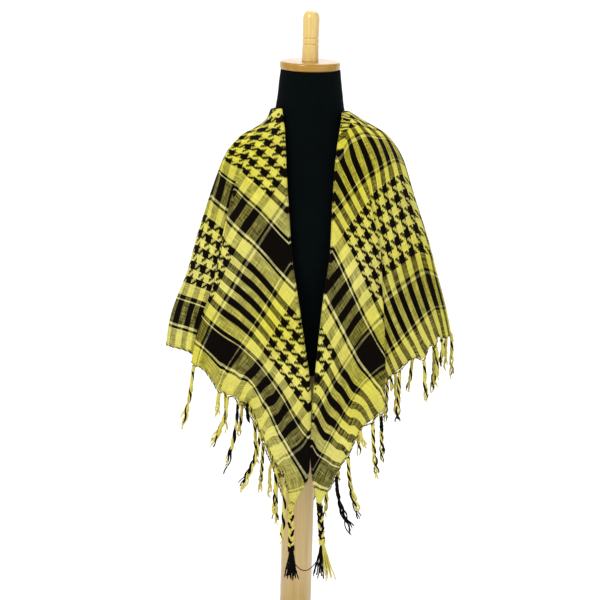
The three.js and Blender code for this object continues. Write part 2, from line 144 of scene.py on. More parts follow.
# Lengths of twisted edge along the hem, from place to place.
FRINGES = table("name from to", [
    ("fringe_left_front", -0.98, -0.66),
    ("fringe_left_back", -0.65, -0.03),
    ("fringe_right_back", 0.03, 0.585),
    ("fringe_right_side", 0.595, 0.8),
    ("fringe_right_front", 0.872, 0.98),
])
WORN_TO = -0.17  # the tassels of the left side have worn off from the flap round to this place

# Plaited corners: place, sideways shift, lengths of the plait and of the tassel below it, how far the
# tassel opens, how far it leans, the dyes of its strands, wrap and knot (Y yellow, K black), and where
# across the tassel its black threads end, as a part of its half width.
PLAITS = table("name place shift plait tassel flare lean dyes wrap knot dark", [
    ("plait_left_front", -1, 0, 73, 48, 11, 4, "YKY", "Y", "K", 2),
    ("plait_right_front", 1, 0, 60, 58, 18, 11, "KYK", "K", "Y", 0),
    ("plait_back_left", 0, -11, 62, 46, 9, 0, "YKY", "Y", "Y", 0.1),
    ("plait_back_right", 0, 11, 52, 46, 9, 0, "KYK", "Y", "K", -0.2),
])

# Profile of the turned peg, from its foot up.
PEG = table("radius height", [
    (0.3, 0), (11.4, 0), (12.1, 1), (12.2, 6), (11.8, 18), (11.7, 22.6), (10.4, 24),
    (11.7, 25.4), (11.6, 31.4), (10.2, 33), (11.6, 34.6), (11.8, 46), (12, 58), (11.3, 64),
    (9.2, 68.5), (5.5, 71.2), (0.3, 72),
])

# Charts of the two sets of yarns: the distance from the nearer hem at which each yarn starts. Stripes
# give the width of a stripe in the border's check and in the field's, and how much wider the margin at
# the far hem is.
CHART_A = table("from yarn", [
    (0, "yellow"), (20, "black"), (23.5, "cream"), (26.5, "black"), (73.5, "cream"),
    (76.5, "black"), (80, "yellow"), (101.5, "check"), (218.5, "yellow"), (244, "black"),
    (248.5, "cream"), (251.5, "black"), (305.5, "cream"), (308.5, "black"), (312, "yellow"),
    (332, "check"),
])
CHART_B = table("from yarn", [
    (0, "yellow"), (28, "black"), (32.7, "cream"), (35.8, "black"), (72.7, "cream"),
    (75.8, "black"), (80, "yellow"), (99.5, "check"), (198.5, "yellow"), (220, "black"),
    (224.7, "cream"), (227.8, "black"), (266.7, "cream"), (269.8, "black"), (274, "yellow"),
    (296, "check"),
])
STRIPES_A = {"border": 13.0, "field": 12.0, "margin": 17.0}
STRIPES_B = {"border": 11.0, "field": 8.6, "margin": 0.0}

# Where the cloth is pulled off the square: the middle of each pull, its reach across and down, and how
# far it moves the pattern across each set of yarns.
BIAS = table("place row wide tall a b", [
    (0.9, 4.5, 0.34, 4.2, 38, 0),
    (0.66, 4.8, 0.16, 2.6, 24, 0),
    (0.64, 5.3, 0.07, 1.5, 10, 0),
    (0.86, 1.5, 0.1, 1.1, 18, 0),
    (0.955, 2.3, 0.05, 0.9, 10, 0),
    (1, 3.3, 0.04, 1, -13, 0),
    (0.76, 7.4, 0.2, 2.8, 0, -28),
    (0.78, 8.6, 0.07, 1.2, -18, 0),
    (-0.54, 5.3, 0.11, 1.7, 0, -24),
])
THREADS = 4  # threads to a stripe of the check, as drawn
THREAD = 1.6  # width of a thread as drawn
SLUB = 24.0  # length of a slub in the yarn
CROSSING_GAMMA = 1.6  # power that darkens the blend of crossing yarns
FOLD_HALF = 3.1  # half the cloth that the folded edge takes up
FOLD_STEPS = 3
COARSE_COLUMNS, COARSE_ROWS = 79, 34  # grid on which the cloth is flattened
FINER = 3  # cells of the shown grid to one of the coarse grid, each way
FLAT_ROUNDS, QUICK_ROUNDS = 4000, 400
DAMPING, STEP = 0.93, 0.5  # what the flattened grid keeps of its speed, and the part of a pull it takes
SHEAR = 0.7  # stiffness of the springs across a cell, against 1 along the yarns
UNDER_DRAWN = 0.7  # the least part of its scallop by which the under layer is drawn up all the way
HEM_START = 0.88  # part of the way down at which the scalloped hem starts to be drawn up

GAP = 0.3  # between pieces of the form that touch
CLOTH = 1.2  # thickness of a layer's solid
EDGE_OFF = 1.5  # from the hem down to the middle of the twisted edge
EDGE_YARN = 0.85  # radius of each of its two yarns
EDGE_HELIX, EDGE_PITCH = 0.8, 11.0  # radius and pitch of their turns
EDGE_STEPS = 900  # for each unit of place
YARN, FINE_YARN = 1.45, 0.95  # radii of the yarns in a tassel and in a plait's tassel
YARN_TWIST = 0.11  # turns of the two plies for each mm
STRAND_STEPS = 26
FRINGE_PITCH = 38.0  # between two knotted tassels along the hem
TASSEL_PITCH = 34.0  # turn of a tassel's yarns round each other
KNOT_LENGTH = 35.0  # a tassel longer than this holds the hem down at its knot
SCALLOP = 260.0  # height of a scallop for each unit of place between its knots
WIDEST_SCALLOP = 0.045  # the place between knots past which a scallop grows no more
PLAIT_PITCH = 24.0
PLAIT_STRAND, PLAIT_REACH, PLAIT_DEPTH = 2.3, 2.9, 1.7  # a strand's radius, and its swing across and back
PLAIT_GRIP = 5.0  # how far the plait starts above the corner
PLAIT_JOIN, PLAIT_PART = 0.36, 30.0  # two plaits of one corner start this close and part over this length
THREAD_DROP, THREAD_SAG = -8.0, 26.0  # where the loose thread leaves the front plaits, and how far it hangs

BASE_RADIUS, BASE_HEIGHT, BASE_EDGE = 160.0, 22.0, 6.0
POLE_RADIUS = 24.0
TORSO_BOTTOM, NECK_TOP = 547.0, 988.0
DISC_RADIUS, DISC_HEIGHT, DISC_EDGE = 43.5, 12.0, 3.5
TORSO_SIDES, TORSO_STEPS = 120, 170
RIB_STEP = 0.0024  # between the ribs of the jersey as drawn, in metres
AXIS = 0.3  # radius at which a turned profile starts, so that its ends are flat caps

# Stage, in metres.
LENS, SENSOR = 101.0, 36.0  # millimetres
CAMERA_AIM = (-0.0053, 0.0, 0.6464)
WORLD_LIGHT = 0.62
FLOOR_HALF, SWEEP_START, SWEEP_RADIUS = 6.0, 2.6, 1.2  # the floor's reach, and the round up into the wall

# Studio lamps, in metres and watts: place, depth and height that each is aimed at, and size.
LIGHTS = table("name x y z aim_y aim_z size power", [
    ("key", -1.5, -2.4, 2.6, 0, 0.7, 1.3, 46),
    ("fill", 1.9, -2.2, 1.2, 0, 0.6, 2, 10),
    ("back", 0.4, 2.2, 2.6, 0, 0.8, 1.8, 10),
    ("backdrop", 0, 1.4, 3.4, 3.4, 0.6, 3, 60),
])

# Tassels that hang free of the front hems: place across, length, lean to the side, half thickness and
# the dyes of their yarns.
FRONT_TASSELS = table("side across length lean half dyes", [
    ("left", 0.752, 97, -14, 3.4, "YKY"),
    ("left", 0.822, 36, -2, 4.2, "YY"),
    ("left", 0.84, 76, -22, 2.6, "YKYY"),
    ("left", 0.862, 108, -16, 2.8, "KKY"),
    ("left", 0.884, 29, 4, 2.6, "KK"),
    ("left", 0.912, 92, -26, 3.2, "YKYK"),
    ("left", 0.943, 78, -2, 3.2, "YKY"),
    ("left", 0.968, 92, -3, 3.4, "YYK"),
    ("right", 0.603, 40, -4, 4, "YYK"),
    ("right", 0.645, 50, 2, 3, "YYK"),
    ("right", 0.7, 63, 5, 3.2, "YYK"),
    ("right", 0.762, 76, 0, 3.6, "YKYK"),
    ("right", 0.786, 22, 2, 2.6, "YKY"),
    ("right", 0.882, 72, 4, 3.6, "KKY"),
    ("right", 0.9, 84, 8, 3.6, "YKYK"),
    ("right", 0.922, 26, 8, 2.6, "YY"),
    ("right", 0.942, 94, 18, 3.6, "YKYK"),
    ("right", 0.964, 88, 24, 3.4, "KKK"),
])

# Rings of the torso and neck: height, half width, depths, and how far the middle is off the pole.
TORSO = table("z half front back shift", [
    (TORSO_BOTTOM, 84, 62, 63, 4), (550, 95, 71, 72, 4), (558, 102, 77, 78, 4),
    (580, 103, 78, 79, 5), (620, 98, 76, 76, 5), (670, 95, 77, 74, 5),
    (735, 103, 82, 77, 6), (800, 110, 80, 78, 6), (840, 109, 75, 76, 6),
    (866, 102, 69, 72, 6), (884, 92, 63, 67, 6), (898, 76, 58, 63, 5),
    (909, 62, 53, 59, 4), (920, 53.5, 49, 55, 2.5), (934, 49.5, 46, 51, 1.5),
    (952, 47, 45, 47, 1.5), (970, 45, 44, 45, 1), (NECK_TOP - GAP, 43, 43, 43, 1),
])

# ---- small helpers ------------------------------------------------------------------------------


def column(rows, key):
    """One named column of a table, as an array."""
    return np.array([row[key] for row in rows], dtype=float)


def through(values, at):
    """Values at fractional places along their first axis, on a Catmull-Rom curve through them."""
    last = len(values) - 1
    place = np.clip(at, 0, last)
    low = np.minimum(np.floor(place), last - 1).astype(int)
    f = (place - low).reshape(*low.shape, *([1] * (values.ndim - 1)))
    a, b, c, d = (values[np.clip(low + k, 0, last)] for k in (-1, 0, 1, 2))
    return b + 0.5 * f * (c - a + f * (2 * a - 5 * b + 4 * c - d + f * (3 * (b - c) + d - a)))


def ramp(value, start, end):
    """A smooth step from 0 at start to 1 at end."""
    t = np.clip((value - start) / (end - start), 0, 1)
    return t * t * (3 - 2 * t)


def length(vectors):
    """Lengths along the last axis."""
    return np.linalg.norm(vectors, axis=-1)


def unit(vectors):
    """The vectors at length 1."""
    return vectors / np.maximum(length(vectors)[..., None], 1e-9)


def hex_linear(code):
    """An sRGB hex colour as linear red, green, blue and alpha."""
    parts = np.array([int(code[i:i + 2], 16) / 255 for i in (1, 3, 5)])
    linear = np.where(parts <= 0.04045, parts / 12.92, ((parts + 0.055) / 1.055) ** 2.4)
    return (*linear.tolist(), 1.0)


def mesh_object(name, points, faces):
    """A smooth object from points in metres and a list or array of faces."""
    mesh = bpy.data.meshes.new(name)
    mesh.from_pydata(points.tolist(), [], faces.tolist() if hasattr(faces, "tolist") else faces)
    mesh.update()
    mesh.polygons.foreach_set("use_smooth", np.full(len(mesh.polygons), True))
    piece = bpy.data.objects.new(name, mesh)
    bpy.context.collection.objects.link(piece)
    return piece


def grid_faces(columns, rows, wrap=False):
    """Quads of a grid of columns by rows, numbered down each column. Wrap joins the last one to the first."""
    across = np.arange(columns if wrap else columns - 1)
    i, j = np.meshgrid(across, np.arange(rows - 1), indexing="ij")
    right = (i + 1) % columns
    corners = [i * rows + j, right * rows + j, right * rows + j + 1, i * rows + j + 1]
    return np.stack(corners, -1).reshape(-1, 4)


def corner_values(mesh, per_point):
    """Values given per vertex, spread to the face corners."""
    index = np.empty(len(mesh.loops), dtype=np.int32)
    mesh.loops.foreach_get("vertex_index", index)
    return per_point[index]


def add_uv(piece, name, coordinates):
    """A UV map from one pair of coordinates per vertex."""
    layer = piece.data.uv_layers.new(name=name)
    layer.data.foreach_set("uv", corner_values(piece.data, coordinates).astype(np.float32).ravel())


def add_value(piece, name, values):
    """A float attribute per vertex."""
    layer = piece.data.attributes.new(name, "FLOAT", "POINT")
    layer.data.foreach_set("value", values.astype(np.float32))


# ---- the shape of the cloth ---------------------------------------------------------------------
RING = {key: column(RINGS, key) for key in RINGS[0] if key != "name"}


def ring(key, row):
    """A column of the ring table at fractional rows."""
    return through(RING[key], row)


def ring_point(row, angle):
    """A point on a ring: an ellipse with its own width to each side and depth to front and back, whose
    height goes from the side's to the front's or back's with the square of the cosine."""
    sin, cos = np.sin(angle), np.cos(angle)
    wide = np.where(angle > 0, ring("right", row), ring("left", row))
    deep = np.where(cos > 0, ring("front", row), ring("back", row))
    middle = np.where(cos > 0, ring("fore", row), ring("aft", row))
    return np.stack([wide * sin, -deep * cos, ring("side", row) * sin**2 + middle * cos**2], -1)


def edge_angle(row, sign):
    """The turn of a half's front edge at a ring, from where that edge is across."""
    x = np.where(sign < 0, ring("edgeL", row), ring("edgeR", row))
    return np.arcsin(x / np.where(x < 0, ring("left", row), ring("right", row)))


def half_length(row, sign):
    """About the length of half a ring, from the middle of the back to the front edge: half the round of
    an ellipse, less what the front opening takes."""
    wide = np.where(sign < 0, ring("left", row), ring("right", row))
    return math.pi / 2 * (0.5 * (ring("front", row) + ring("back", row)) + wide) * OPENING_PART


def fold_shift(row, across, sign, under):
    """How far the folds move a point along its ring and outwards: each soft fold is a bell, a lap is a
    tanh step back along the ring with a bell behind it, and the flutes are a cosine over the back."""
    along = np.zeros_like(across)
    out = np.zeros_like(across)
    reach = half_length(row, sign)
    for fold in FOLDS:
        ours = (sign < 0) == (fold["side"] == "left")
        strength = np.where(ours, ramp(row, fold["from"], fold["from"] + FOLD_RISE), 0.0)
        part = np.clip(FOLD_RUN * (row - fold["from"]) / (fold["to"] - fold["from"]), 0, 1)
        middle = fold["acrossTop"] + (fold["acrossEnd"] - fold["acrossTop"]) * part
        d = (across - middle) * reach / fold["width"]
        if fold["tuck"] > 0:
            even = np.where(across < middle, across / middle - 1, (across - middle) / (1 - middle))
            along -= strength * fold["tuck"] * 0.5 / reach * (np.tanh(d / LAP_EASE if under else d) - even)
            behind = 0.5 * (1 - np.tanh(1.5 * d)) * np.exp(np.minimum(0, d + 1) / 3.5)
            if under:
                behind = np.maximum(behind, 1.15 * np.exp(-0.05 * (d + 0.8) ** 2))
            out += strength * fold["depth"] * behind
        else:
            out += strength * fold["depth"] * np.exp(-d * d)
    fade = 1 - ramp(across, FLUTES["reach"] * 0.7, FLUTES["reach"])
    wave = np.cos((math.pi * FLUTES["count"] + sign * FLUTE_DRIFT) * across / FLUTES["reach"])
    out += FLUTES["depth"] * fade * ramp(row, FLUTES["from"], FLUTES["full"]) * wave
    return along, out


def cloth_point(place, row, under=False, step=0.0):
    """The cloth at a place (-1 left front edge, 0 middle of the back, 1 right front edge) and row."""
    sign = np.where(place < 0, -1.0, 1.0)
    along, out = fold_shift(row, np.abs(place), sign, under)
    across = np.abs(place) + along
    edge = edge_angle(row, sign)

    def turn(part):
        return sign * (math.pi - (math.pi - sign * edge) * part)

    ahead = ring_point(row, turn(across + 0.01)) - ring_point(row, turn(across - 0.01))
    outward = unit(np.stack([-ahead[..., 1], ahead[..., 0], 0 * ahead[..., 0]], -1)) * sign[..., None]
    return ring_point(row, turn(across)) + outward * (out - step)[..., None]


def front_tassels():
    """The rows of the front table, each with its place round the whole hem."""
    sign = {"left": -1, "right": 1}
    return [{**row, "place": sign[row["side"]] * row["across"]} for row in FRONT_TASSELS]


def scallop(place):
    """How far the hem is drawn up between two knots of the front: an arch as high as a part of their
    distance, over places measured from knot to knot."""
    knots = np.sort([row["place"] for row in front_tassels() if row["length"] > KNOT_LENGTH])
    step = np.clip(np.searchsorted(knots, place), 1, len(knots) - 1)
    wide = knots[step] - knots[step - 1]
    part = np.clip((place - knots[step - 1]) / wide, 0, 1)
    return SCALLOP * np.minimum(wide, WIDEST_SCALLOP) * np.sin(math.pi * part) * (wide < 2 * WIDEST_SCALLOP)


def hem_row(place, under=False, knotted=False):
    """The row at which each place reaches its hem height, by halving."""
    key = "under" if under else "outer"
    height = np.where(
        place < 0,
        np.interp(np.abs(place), column(HEM_LEFT, "across"), column(HEM_LEFT, key)),
        np.interp(np.abs(place), column(HEM_RIGHT, "across"), column(HEM_RIGHT, key)),
    )
    if knotted:
        height = height + scallop(place)
    low, high = np.zeros_like(place), np.full_like(place, len(RINGS) - 1.0)
    for _ in range(30):
        middle = 0.5 * (low + high)
        above = cloth_point(place, middle, under)[..., 2] > height
        low, high = np.where(above, middle, low), np.where(above, high, middle)
    return low


def places(count):
    """Places of the columns, closer together where the cloth laps, and which of them is at the back."""
    p = np.linspace(-1, 1, 2001)
    density = 1 + 2.4 * np.exp(-((p + 0.7) / 0.1) ** 2) + 0.5 * np.exp(-((p - 0.8) / 0.14) ** 2)
    total = np.concatenate([[0], np.cumsum(0.5 * (density[1:] + density[:-1]))])
    half = np.interp(0.0, p, total)
    middle = int(round((count - 1) * half / total[-1]))
    left = np.linspace(0, half, middle + 1)
    right = np.linspace(half, total[-1], count - middle)[1:]
    return np.interp(np.concatenate([left, right]), total, p), middle


def flatten(points, middle, rounds):
    """Cloth coordinates of a draped grid: x along the fold, 0 at its middle, and y down from it, below 0.
    Springs between neighbours and across each cell pull the flat grid towards the draped lengths. The
    three sides of the triangle are held: the front edges at y = 0 and the two hems on their lines."""
    rest = [length(points[1:] - points[:-1]), length(points[:, 1:] - points[:, :-1]),
            length(points[1:, 1:] - points[:-1, :-1]), length(points[1:, :-1] - points[:-1, 1:])]
    pairs = [(np.s_[1:, :], np.s_[:-1, :], 1.0), (np.s_[:, 1:], np.s_[:, :-1], 1.0),
             (np.s_[1:, 1:], np.s_[:-1, :-1], SHEAR), (np.s_[1:, :-1], np.s_[:-1, 1:], SHEAR)]
    run = np.concatenate([[0], np.cumsum(length(np.diff(points[:, -1], axis=0)))])
    neck = np.concatenate([[0], np.cumsum(length(np.diff(points[:, 0], axis=0)))])
    fronts = [length(np.diff(points[k], axis=0)).sum() for k in (0, -1)]
    slack = HALF_DIAGONAL - 0.5 * sum(fronts)
    top_x = slack * (2 * neck / neck[-1] - 1)
    along = np.where(run <= run[middle], run / run[middle], 1 + (run - run[middle]) / (run[-1] - run[middle]))
    hem_x = HALF_DIAGONAL * (along - 1)
    hem_y = -HALF_DIAGONAL * (1 - np.abs(along - 1))
    down = np.concatenate([np.zeros((len(points), 1)), np.cumsum(rest[1], axis=1)], axis=1)
    down /= down[:, -1:]
    flat = np.stack([top_x[:, None] * (1 - down) + hem_x[:, None] * down, hem_y[:, None] * down], -1)
    speed = np.zeros_like(flat)
    for _ in range(rounds):
        pull = np.zeros_like(flat)
        weight = np.zeros(flat.shape[:2])
        for (ahead, behind, stiff), wanted in zip(pairs, rest):
            gap = flat[ahead] - flat[behind]
            now = np.maximum(length(gap), 1e-6)
            change = (0.5 * stiff * (now - wanted) / now)[..., None] * gap
            pull[ahead] -= change
            pull[behind] += change
            weight[ahead] += stiff
            weight[behind] += stiff
        speed = DAMPING * speed + STEP * pull / weight[..., None]
        flat += speed
        flat[0, :, 1] = flat[-1, :, 1] = flat[:, 0, 1] = 0
        left, right = flat[:middle + 1, -1], flat[middle:, -1]
        off = 0.5 * (left[:, 0] + HALF_DIAGONAL + left[:, 1])
        left -= off[:, None]
        off = 0.5 * (HALF_DIAGONAL - right[:, 0] + right[:, 1])
        right += off[:, None] * np.array([1.0, -1.0])
        flat[0, -1] = (-HALF_DIAGONAL, 0)
        flat[-1, -1] = (HALF_DIAGONAL, 0)
        flat[middle, -1] = (0, -HALF_DIAGONAL)
    return flat


def finer(values, factor):
    """A grid of values resampled to factor times as many cells each way, on Catmull-Rom curves."""
    for axis in (0, 1):
        moved = np.moveaxis(values, axis, 0)
        at = np.linspace(0, len(moved) - 1, (len(moved) - 1) * factor + 1)
        values = np.moveaxis(through(moved, at), 0, axis)
    return values


def normals_of(points):
    """Normals of a grid of columns by rows, out of the cloth."""
    return unit(np.cross(np.gradient(points, axis=0), np.gradient(points, axis=1)))


def crease_out(place, row):
    """Height of the small creases: each is a soft ridge or trough that swells and dies along its length,
    a sine over its rows times a bell across it, and the whole cloth has a slight uneven ripple."""
    out = RIPPLE * np.sin(9.0 * place + 1.3 * row) * np.sin(23.0 * place - 0.6 * row + 1.1)
    for crease in CREASES:
        part = np.clip((row - crease["fromRow"]) / (crease["toRow"] - crease["fromRow"]), 0, 1)
        middle = crease["from"] + (crease["to"] - crease["from"]) * part
        reach = half_length(row, np.where(place < 0, -1.0, 1.0))
        d = (place - middle) * reach / crease["width"]
        out = out + crease["depth"] * np.sin(math.pi * part) ** 0.8 * np.exp(-d * d)
    return out


def bias_shift(place, row):
    """How far the yarns are dragged on the bias, as a shift of the flat coordinates: each row of the table
    is a bell over places and rows with its shift across each set of yarns."""
    shift = np.zeros((*place.shape, 2))
    for pull in BIAS:
        off = ((place - pull["place"]) / pull["wide"]) ** 2 + ((row - pull["row"]) / pull["tall"]) ** 2
        move = np.array([pull["a"] + pull["b"], pull["b"] - pull["a"]]) / math.sqrt(2)
        shift += np.exp(-off)[..., None] * move
    return shift


def scarf_grid():
    """The draped grid, its under layer, its flat coordinates and their shift on the bias: a coarse grid is
    flattened, and both the places on it and the flat coordinates are then made finer."""
    place, middle = places(COARSE_COLUMNS)
    row = hem_row(place)[:, None] * np.linspace(0, 1, COARSE_ROWS)
    place = np.repeat(place[:, None], COARSE_ROWS, axis=1)
    flat = flatten(cloth_point(place, row), middle, FLAT_ROUNDS)
    fine = finer(np.concatenate([place[..., None], row[..., None], flat], -1), FINER)
    place, row, flat = np.clip(fine[..., 0], -1, 1), np.maximum(fine[..., 1], 0), fine[..., 2:]
    hem = hem_row(place[:, 0])[:, None]
    near = ramp(row / hem, HEM_START, 1.0)
    drawn = hem_row(place[:, 0], knotted=True)[:, None] / hem
    under_drawn = hem_row(place[:, 0], True, knotted=True)[:, None] / hem
    under_row = row * (1 + (under_drawn - 1) * np.maximum(near, UNDER_DRAWN))
    row = row * (1 + (drawn - 1) * near)
    outer = cloth_point(place, row)
    under = cloth_point(place, under_row, True, LAYER_STEP)
    crease = crease_out(place, row)[..., None]
    layers = [points + normals_of(points) * crease for points in (outer, under)]
    return *layers, flat, bias_shift(place, row)


def scarf_mesh(outer, under, flat, shift):
    """Vertices, faces and flat coordinates of the whole square: the outer grid, a half round fold along its
    front edges and neckline, and the under grid turned to face the other way."""
    columns, rows = outer.shape[:2]
    edge = ([(0, j) for j in range(rows - 1, 0, -1)] + [(i, 0) for i in range(columns)]
            + [(columns - 1, j) for j in range(1, rows)])
    i, j = np.array(edge).T
    inner_i = np.clip(i, 1, columns - 2)
    inner_j = np.maximum(j, 1)
    away = outer[i, j] - outer[inner_i, inner_j]
    across = 0.5 * (outer[i, j] - under[i, j])
    away = unit(away - unit(across) * (away * unit(across)).sum(-1, keepdims=True))
    middle = 0.5 * (outer[i, j] + under[i, j])
    turns = math.pi * np.arange(1, FOLD_STEPS + 1) / (FOLD_STEPS + 1)
    fold = [middle + math.cos(t) * across + math.sin(t) * length(across)[:, None] * away for t in turns]
    fold_flat = [np.stack([flat[i, j, 0], -FOLD_HALF * math.cos(t) + 0 * i], -1) for t in turns]

    count = columns * rows
    first = i * rows + j
    lines = [first] + [count + k * len(first) + np.arange(len(first)) for k in range(FOLD_STEPS)]
    start = count + FOLD_STEPS * len(first)
    lines.append(start + first)
    strip = [np.stack([a[:-1], b[:-1], b[1:], a[1:]], -1) for a, b in zip(lines, lines[1:])]
    grid = grid_faces(columns, rows)
    mirrored = flat * np.array([1.0, -1.0])
    points = np.concatenate([outer.reshape(-1, 3), *fold, under.reshape(-1, 3)])
    plan = np.concatenate([flat.reshape(-1, 2), *fold_flat, mirrored.reshape(-1, 2)])
    plan += np.concatenate([shift.reshape(-1, 2), *[shift[i, j]] * FOLD_STEPS, shift.reshape(-1, 2)])
    return points, np.concatenate([grid, *strip, start + grid[:, ::-1]]), plan


# ---- yarn ---------------------------------------------------------------------------------------


def strands(paths, radii, twist, sides=8, upright=True):
    """Two-ply strands along paths: rings of a section with two lobes, which turns as it goes along.
    Returns points and faces. Paths is strands by steps by 3, radii strands by steps, twist turns per mm."""
    count, steps = paths.shape[:2]
    along = unit(np.gradient(paths, axis=1))
    side = unit(np.cross(along, np.array([0.0, 1.0, 0.0] if upright else [0.0, 0.0, 1.0])))
    other = np.cross(along, side)
    walked = np.cumsum(length(np.diff(paths, axis=1, prepend=paths[:, :1])), axis=1)
    angle = 2 * math.pi * np.arange(sides) / sides
    lobes = 0.8 + 0.2 * np.cos(2 * (angle - 2 * math.pi * (walked * twist)[..., None]))
    ring = np.cos(angle)[:, None] * side[..., None, :] + np.sin(angle)[:, None] * other[..., None, :]
    points = paths[..., None, :] + (radii[..., None] * lobes)[..., None] * ring
    k, s, c = np.meshgrid(np.arange(count), np.arange(steps - 1), np.arange(sides), indexing="ij")
    at = (k * steps + s) * sides
    after = (c + 1) % sides
    quads = np.stack([at + c, at + after, at + sides + after, at + sides + c], -1).reshape(-1, 4)
    first = (np.arange(count) * steps * sides)[:, None]
    ends = [first + np.arange(sides)[::-1], first + (steps - 1) * sides + np.arange(sides)]
    return points.reshape(-1, 3), quads.tolist() + np.concatenate(ends).tolist()


def join(parts):
    """One mesh from several lists of points, faces and dye."""
    points, faces, dye, start = [], [], [], 0
    for some, polygons, colour in parts:
        points.append(some)
        faces += [[start + corner for corner in polygon] for polygon in polygons]
        dye.append(np.broadcast_to(colour, len(some)))
        start += len(some)
    return np.concatenate(points), faces, np.concatenate(dye)


def dye_values(letters):
    """Dyes of a word of letters, 1 for K, black, and 0 for Y, yellow."""
    return np.array([1.0 if letter == "K" else 0.0 for letter in letters])


def per_point(values, points):
    """One value per strand, repeated for each of its points."""
    return np.repeat(values, len(points) // len(values))


def hem_point(place):
    """Points of the outer hem."""
    return cloth_point(place, hem_row(place, knotted=True))


def hem_normal(place):
    """The direction out of the cloth at the hem."""
    step, drop = 0.003, 0.12
    row = hem_row(place)
    along = cloth_point(place + step, row) - cloth_point(place - step, row)
    down = cloth_point(place, row + drop) - cloth_point(place, row - drop)
    return unit(np.cross(along, down))


def cord_point(place):
    """Points just off the hem, where the twisted edge runs."""
    step = 0.004
    along = unit(hem_point(place + step) - hem_point(place - step))
    normal = hem_normal(place)
    away = unit(np.cross(along, normal))
    off = np.where(away[..., 2:] < 0, EDGE_OFF, -EDGE_OFF)
    return hem_point(place) + away * off - normal * 0.5 * CLOTH


def tassel_parts(rows):
    """Hanging tassels: a knot under the hem and strands twisted together below it, two of each dye, which
    part towards their ends. Each is a line with a lean and a spread that grow with the square of the way
    down, a turn about the middle in proportion to it, and a slow curl."""
    parts = []
    t = np.linspace(0, 1, STRAND_STEPS)
    for number, row in enumerate(rows):
        place = np.array([row["place"]])
        root, outward = cord_point(place)[0], hem_normal(place)[0]
        dyes = np.repeat(dye_values(row["dyes"]), 2)
        k = np.arange(len(dyes))[:, None]
        turn = 2 * math.pi * (k / len(dyes) + 0.31 * number + row["length"] * t / TASSEL_PITCH)
        size = row["length"] * (1 - 0.16 * ((3 * k[:, 0] + number) % 4) / 3)
        spread = row["half"] * (0.45 + 0.3 * t[None] ** 2)
        curl = 1.2 * np.sin(2 * math.pi * (0.9 * t[None] + 0.37 * k + 0.23 * number)) * t[None] ** 2
        x = row["lean"] * t**2 + spread * np.cos(turn) + curl
        y = 0.8 * spread * np.sin(turn) + 0.5 * curl
        z = -size[:, None] * t[None]
        proud = (outward * row["half"])[None, None] * np.minimum(1, 6 * t)[None, :, None]
        paths = root + np.stack([x, y, z], -1) + proud
        radii = np.repeat(YARN * (1 - 0.35 * t**6)[None], len(dyes), axis=0)
        points, faces = strands(paths, radii, YARN_TWIST)
        parts.append((points, faces, per_point(dyes, points)))
        s = np.linspace(0, 1, 9)
        knot = min(9.0, 0.2 * row["length"])
        path = root + outward * row["half"] * 0.8 + np.stack([0 * s, 0 * s, -knot * (0.1 + s)], -1)
        bulge = row["half"] * 0.8 * np.sqrt(np.clip(np.sin(math.pi * (0.04 + 0.92 * s)), 0, 1))
        points, faces = strands(path[None], bulge[None], 0.09, sides=12)
        parts.append((points, faces, dyes[0]))
    return parts


def edge_part(start, end):
    """The edge cord along the hem between two places: a yellow and a black yarn, each a helix round the
    cord's middle half a turn from the other."""
    place = np.linspace(start, end, int((end - start) * EDGE_STEPS))
    path = cord_point(place)
    walked = np.concatenate([[0], np.cumsum(length(np.diff(path, axis=0)))])
    along = unit(np.gradient(path, axis=0))
    side = hem_normal(place)
    other = np.cross(along, side)
    turn = 2 * math.pi * walked / EDGE_PITCH + np.array([[0.0], [math.pi]])
    paths = path + EDGE_HELIX * (np.cos(turn)[..., None] * side + np.sin(turn)[..., None] * other)
    points, faces = strands(paths, np.full(turn.shape, EDGE_YARN), 0.12, sides=6, upright=False)
    return points, faces, per_point(np.array([0.0, 1.0]), points)


def even_tassels(start, end):
    """Tassels at an even pitch along the hem, uneven in length and lean."""
    place = np.linspace(start, end, 400)
    walked = np.concatenate([[0], np.cumsum(length(np.diff(hem_point(place), axis=0)))])
    spots = np.interp(np.arange(FRINGE_PITCH, walked[-1] - 12, FRINGE_PITCH), walked, place)
    dyes = ("YKY", "YYK", "KYKY", "YY")
    rows = [(spot, 70 + 14 * math.sin(2.1 * k), 5 * math.sin(3.7 * k), 3.2, dyes[k % 4])
            for k, spot in enumerate(spots)]
    return table("place length lean half dyes", rows)


def tassels_of(start, end):
    """The tassels of one length of edge: those of the front table that lie on it, or else even ones,
    without those that have worn off."""
    here = [row for row in front_tassels() if start < row["place"] < end]
    return here or [row for row in even_tassels(start, end) if row["place"] > WORN_TO]


